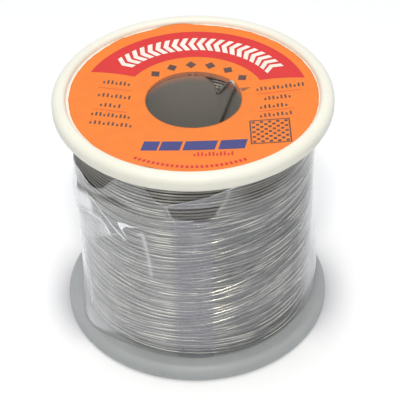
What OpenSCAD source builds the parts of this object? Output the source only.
// Solder wire spool: two moulded flanges on a core tube, wound with fine flux-cored solder wire,
// wrapped in clear film, with a paper label in the top flange.
// Millimetres. The spool stands on its bottom rim at z = 0, with its axis on Z.

/* [Flanges] */
// Diameter of both flanges
flange_d = 62; // [60:0.5:72]
// Height of the spool over both rims
spool_h = 60; // [50:1:80]
// Height of the bead that runs round a flange
rim_h = 4.2; // [3.4:0.1:4.8]
// Width of the bead, from the flange's edge to its sunk face
rim_w = 3.1; // [2.9:0.1:4]
// Rounding of the bead's outer edges
bead_r = 1.7; // [1.2:0.1:1.8]
// Depth of the sunk face where it meets the bead
rim_step = 1.3; // [1.2:0.1:1.8]
// Thickness of the disc at the bore, from which the sunk face rises outward
web_t = 1.6; // [1.5:0.1:2.2]
// Diameter of the bore through both flanges
bore_d = 20.8; // [16:0.2:24]
// Rounding of the bead's inner edge
crest_r = 1.1; // [0.5:0.05:1.2]

/* [Wire notch in each flange] */
// Width of the notch at the bore
notch_w = 2; // [1:0.1:3]
// Length of the notch, outward from the bore
notch_l = 3; // [1.5:0.1:5]
// Direction of the notch
notch_angle = 16; // [0:1:20]

/* [Core tube] */
// Wall of the core tube
tube_wall = 1.4; // [1:0.1:2.5]
// Width of the flange's lip that stands inside the tube's end
lip_w = 0.85; // [0.85:0.05:2]
// How deep the tube's end sits in a flange's groove
seat_depth = 0.7; // [0.3:0.1:1]
// Width of the V window at the flange's inner face
window_w = 5.8; // [5:0.1:9]
// Depth of the V window below the flange's inner face
window_depth = 4.5; // [4.2:0.1:8]
// Direction of the V window
window_angle = 62; // [54:1:120]

/* [Solder wire] */
// Diameter of the wire
wire_d = 0.6; // [0.4:0.05:0.6]
// Diameter of the resin core inside the wire
flux_d = 0.22; // [0.1:0.01:0.26]
// Diameter of the full winding
winding_d = 54; // [40:0.5:56]
// Diameter of the strand that stands for the outer layer's turns
strand_d = 1.5; // [1:0.1:1.6]
// Loops of the strand
strand_loops = 22; // [12:1:22]

/* [Film and label] */
// Thickness of the film, counted with the air it traps
film_t = 0.1; // [0.05:0.01:0.2]
// Winding left bare below the top flange
film_bare = 3; // [1:0.5:10]
// Angle over which the film's outer end laps its inner end
film_overlap = 20; // [10:1:60]
// Direction of the film's inner end
film_start = 260; // [0:5:355]
// Thickness of the paper label
label_t = 0.12; // [0.08:0.01:0.3]
// Sunk face left bare round the label
label_bare = 0.35; // [0.1:0.05:1]

/* [Hidden] */
$fn = 96;

// Fits
seat_gap = 0.05;    // tube's end in its groove, on every side
wind_gap = 0.05;    // winding on the tube, and against the flanges
film_gap = 0.05;    // film outside the winding
film_margin = 0.3;  // film above the lower flange
lap_gap = 0.06;     // between the film's two layers where they lap
label_gap = 0.05;   // label outside the bore
tail_gap = 0.15;    // starting end inside the tube's wall
flux_gap = 0.01;    // resin inside the wire, on every side

// Flanges
flange_r = flange_d / 2;
bore_r = bore_d / 2;
bead_centre_r = flange_r - bead_r;
sunk_r = flange_r - rim_w;
sunk_depth = rim_h - web_t;     // at the bore
crest = min(crest_r, rim_step, bead_centre_r - sunk_r);
sunk_slope = (sunk_depth - rim_step) / (sunk_r - bore_r);
inner_face_bottom = rim_h;
inner_face_top = spool_h - rim_h;
notch_tip_w = 0.3;
cut = 1;            // how far a cutting shape runs past a face

// Core tube
tube_inner_r = bore_r + lip_w + seat_gap;
tube_outer_r = tube_inner_r + tube_wall;
tube_bottom = inner_face_bottom - seat_depth;
tube_top = inner_face_top + seat_depth;

// Winding
winding_r = winding_d / 2;
winding_inner_r = tube_outer_r + wind_gap;
layers_r = winding_r - strand_d - wind_gap;
layers_bottom = inner_face_bottom + wind_gap;
layers_top = inner_face_top - wind_gap;

// The outer layer's strand climbs straight from the lower flange, bends into its helix and ends the
// same way at the upper flange.
strand_path_r = winding_r - strand_d / 2;
strand_bend_r = 1;
strand_bend_steps = 3;
rings_per_loop = 24;
strand_sides = 6;
strand_foot = strand_d + strand_bend_r;
strand_climb = inner_face_top - inner_face_bottom - 2 * strand_foot;

// Film
film_r = winding_r + film_gap;
lap_r = film_r + film_t + lap_gap;
film_bottom = inner_face_bottom + film_margin;
film_top = inner_face_top - film_bare;
film_facet_angle = 5;
film_rise_angle = 6;    // over which the film steps out over its own inner end
film_dip_angle = 218;   // direction in which the film's top edge is pulled down
film_dip_d = 18;
film_dip_depth = 6;

// Label
label_outer_r = sunk_r - label_bare;
label_inner_r = bore_r + label_gap;

// Route of the wire's starting end: how far it has come in from the winding towards the tube's
// inside wall (0 to 1), its direction from the window's centre, and its drop below the upper
// flange's inner face.
tail_route = [
    [0, 0, 3.2], [0.2, 0, 3.2], [0.4, 0, 3.2], [0.6, -0.3, 3.15], [0.78, -1.2, 3],
    [0.92, -3, 2.75], [1, -5.5, 2.4], [1, -9, 1.9], [1, -13, 1.3], [1, -17, 0.8],
    [1, -21, 0.55], [1, -24.5, 0.6], [1, -26.9, 1], [1, -27.5, 1.6], [1, -26.2, 2.15],
    [1, -23.5, 2.55], [1, -20.8, 2.95], [1, -18.2, 3.4], [1, -15.8, 4], [1, -13.6, 4.8],
    [1, -11.6, 5.8], [1, -9.8, 7], [1, -8.1, 8.4], [1, -6.5, 10], [1, -5, 11.8],
    [1, -3.7, 14], [1, -2.7, 16.5], [1, -2, 19.5], [1, -1.6, 22.5], [1, -1.4, 25.5],
    [1, -1.4, 28.5]
];
tail_sides = 8;
tail_start_r = winding_inner_r - wind_gap / 2;
tail_wall_r = tube_inner_r - tail_gap - wire_d / 2;
tail_points = [for (p = tail_route) polar_point(
    tail_start_r + (tail_wall_r - tail_start_r) * p[0],
    window_angle + p[1],
    inner_face_top - p[2]
)];

// A point given by its radius, direction and height
function polar_point(r, angle, z) = [r * cos(angle), r * sin(angle), z];

function unit(v) = v / norm(v);

// Direction of a route at point i
function heading(points, i) =
    unit(points[min(i + 1, len(points) - 1)] - points[max(i - 1, 0)]);

// The vector v made square to the direction t
function squared(v, t) = unit(v - (v * t) * t);

// One sideways vector for each point of a route, carried along it without twist
function side_vectors(points) =
    let (first = squared(points[0] - [0, 0, points[0][2]] + [0, 0, norm(points[0])],
                         heading(points, 0)))
    [for (i = 0, v = first; i < len(points);
          i = i + 1, v = i < len(points) ? squared(v, heading(points, i)) : v) v];

// The corner points of every ring of a tube of diameter d along a route
function ring_points(points, d, sides) =
    let (across = side_vectors(points))
    [for (i = [0 : len(points) - 1], k = [0 : sides - 1])
        let (a = across[i], b = cross(heading(points, i), a), angle = 360 * k / sides)
        points[i] + d / 2 * (cos(angle) * a + sin(angle) * b)];

// The triangles of a tube's skin: facing out, or facing in for a bore. first is the number of
// its first corner.
function skin(rings, sides, first = 0, inward = false) =
    [for (i = [0 : rings - 2], k = [0 : sides - 1])
        let (a = first + i * sides + k, b = first + i * sides + (k + 1) % sides,
             c = a + sides, d = b + sides)
        each inward ? [[a, b, c], [b, d, c]] : [[a, c, b], [b, c, d]]];

// A solid rod of diameter d along a route
module rod(points, d, sides) {
    rings = len(points);
    last = (rings - 1) * sides;
    caps = [for (k = [1 : sides - 2])
        each [[0, k, k + 1], [last, last + k + 1, last + k]]];
    polyhedron(ring_points(points, d, sides), concat(skin(rings, sides), caps));
}

// A tube of diameter d with a bore along a route
module pipe(points, d, bore, sides) {
    rings = len(points);
    inner = rings * sides;
    last = (rings - 1) * sides;
    ends = [for (k = [0 : sides - 1])
        let (n = (k + 1) % sides)
        each [
            [k, n, inner + k], [n, inner + n, inner + k],
            [last + k, inner + last + k, last + n], [last + n, inner + last + k, inner + last + n]
        ]];
    polyhedron(
        concat(ring_points(points, d, sides), ring_points(points, bore, sides)),
        concat(skin(rings, sides), skin(rings, sides, inner, true), ends)
    );
}

// Section of a flange to the right of the axis, its outer face down
module flange_section() {
    difference() {
        union() {
            polygon([
                [bore_r, sunk_depth], [sunk_r, rim_step], [bead_centre_r, rim_step],
                [bead_centre_r, rim_h], [bore_r, rim_h]
            ]);
            translate([sunk_r, 0]) square([bead_centre_r - sunk_r, rim_h]);
            translate([bead_centre_r, bead_r]) circle(bead_r);
            translate([bead_centre_r, rim_h - bead_r]) circle(bead_r);
            translate([bead_centre_r, bead_r]) square([bead_r, rim_h - 2 * bead_r]);
        }
        translate([sunk_r, 0]) difference() {
            translate([-cut, -cut]) square(crest + cut);
            translate([crest, crest]) circle(crest);
            translate([-cut, crest]) square([crest + cut, cut]);
        }
        translate([tube_inner_r - seat_gap, rim_h - seat_depth - seat_gap])
            square([tube_wall + 2 * seat_gap, seat_depth + seat_gap + cut]);
    }
}

// Outline of the notch for the wire, outward from the bore
module notch_outline(spare = 0) {
    base = notch_w / 2 + spare;
    tip = notch_tip_w / 2 + spare;
    rotate(notch_angle) polygon([
        [bore_r - cut, base], [bore_r - cut, -base],
        [bore_r + notch_l + spare, -tip], [bore_r + notch_l + spare, tip]
    ]);
}

// One flange, its outer face down
module flange() {
    difference() {
        rotate_extrude() flange_section();
        translate([0, 0, sunk_depth - cut]) linear_extrude(web_t + 2 * cut) notch_outline();
    }
}

module bottom_flange() {
    color("ivory") flange();
}

module top_flange() {
    color("ivory") translate([0, 0, spool_h]) mirror([0, 0, 1]) flange();
}

// The drum of the spool, with the V window cut in its top end
module core_tube() {
    tip_z = inner_face_top - window_depth;
    slope = window_w / 2 / window_depth;
    reach = tube_top + cut - tip_z;
    color("antiquewhite") difference() {
        translate([0, 0, tube_bottom]) cylinder(h = tube_top - tube_bottom, r = tube_outer_r);
        translate([0, 0, tube_bottom - cut])
            cylinder(h = tube_top - tube_bottom + 2 * cut, r = tube_inner_r);
        rotate(window_angle) translate([0, 0, tip_z]) rotate([90, 0, 90])
            linear_extrude(tube_outer_r + cut)
            polygon([[0, 0], [slope * reach, reach], [-slope * reach, reach]]);
    }
}

// The wire's inner layers, as one plain ring
module inner_wire_layers() {
    color("dimgray") difference() {
        translate([0, 0, layers_bottom]) cylinder(h = layers_top - layers_bottom, r = layers_r);
        translate([0, 0, layers_bottom - cut])
            cylinder(h = layers_top - layers_bottom + 2 * cut, r = winding_inner_r);
    }
}

// The strand on the winding's unrolled face: how far it has gone round, in millimetres, and its
// height. It rises from the lower flange, bends, winds its loops, bends and meets the upper flange.
strand_run = 2 * PI * strand_path_r * strand_loops;
strand_start = [[0, 0], [0, strand_d],
    for (k = [1 : strand_bend_steps])
        let (angle = 90 * k / strand_bend_steps)
        [strand_bend_r * (1 - cos(angle)), strand_d + strand_bend_r * sin(angle)]];
strand_helix = [for (i = [1 : strand_loops * rings_per_loop - 1])
    let (part = i / (strand_loops * rings_per_loop))
    [strand_bend_r + (strand_run - 2 * strand_bend_r) * part, strand_foot + strand_climb * part]];
strand_end = [for (i = [len(strand_start) - 1 : -1 : 0])
    [strand_run - strand_start[i][0], 2 * strand_foot + strand_climb - strand_start[i][1]]];
strand_points = [for (p = concat(strand_start, strand_helix, strand_end)) polar_point(
    strand_path_r, p[0] / strand_path_r * 180 / PI, inner_face_bottom + p[1]
)];

// Least distance between points of the strand that lie more than a quarter loop apart along it
strand_apart = rings_per_loop / 4;
strand_least = min([for (i = [0 : len(strand_points) - 1 - strand_apart])
    min([for (j = [i + strand_apart : min(i + 2 * rings_per_loop, len(strand_points) - 1)])
        norm(strand_points[j] - strand_points[i])])]) - strand_d;
echo(str("least gap of the outer layer's strand to itself: ", strand_least, " mm"));

// The wire's outer layer, as one strand of fewer, thicker turns
module outer_wire_layer() {
    color("silver") rod(strand_points, strand_d, strand_sides);
}

// The wire's starting end, out of the window and down the inside of the tube
module wire_start_tail() {
    color("gainsboro") pipe(tail_points, wire_d, flux_d + 2 * flux_gap, tail_sides);
}

// The resin inside the starting end
module flux_core() {
    color("goldenrod") rod(tail_points, flux_d, tail_sides);
}

// The film's outline from above: once round the winding, out over its own inner end, and lapping it
film_turn = 360 + film_overlap;
film_facets = ceil(film_turn / film_facet_angle);
function film_radius(angle) =
    film_r + (lap_r - film_r) * max(0, min(1, (angle - 360 + film_rise_angle) / film_rise_angle));
function film_point(i, out) =
    let (angle = film_turn * i / film_facets, r = film_radius(angle) + out)
    [r * cos(film_start + angle), r * sin(film_start + angle)];
film_outline = concat(
    [for (i = [0 : film_facets]) film_point(i, 0)],
    [for (i = [film_facets : -1 : 0]) film_point(i, film_t)]
);

// The film's top edge is pulled down in one place
module film_wrap() {
    color("lightblue", 0.35) difference() {
        translate([0, 0, film_bottom]) linear_extrude(film_top - film_bottom) polygon(film_outline);
        rotate(film_dip_angle) translate([0, 0, film_top - film_dip_depth + film_dip_d / 2])
            rotate([0, 90, 0]) cylinder(h = lap_r + film_t + cut, d = film_dip_d);
    }
}

// Height of the top flange's sunk face at radius r
function sunk_face_z(r) = spool_h - sunk_depth + sunk_slope * (r - bore_r);

// The paper ring in the top flange's sunk face, torn where the wire notch lies
module top_label() {
    color("darkorange") difference() {
        rotate_extrude() polygon([
            [label_inner_r, sunk_face_z(label_inner_r)],
            [label_outer_r, sunk_face_z(label_outer_r)],
            [label_outer_r, sunk_face_z(label_outer_r) + label_t],
            [label_inner_r, sunk_face_z(label_inner_r) + label_t]
        ]);
        translate([0, 0, spool_h - sunk_depth - cut])
            linear_extrude(sunk_depth + cut) notch_outline(label_gap);
    }
}

bottom_flange();
core_tube();
inner_wire_layers();
outer_wire_layer();
wire_start_tail();
flux_core();
film_wrap();
top_flange();
top_label();
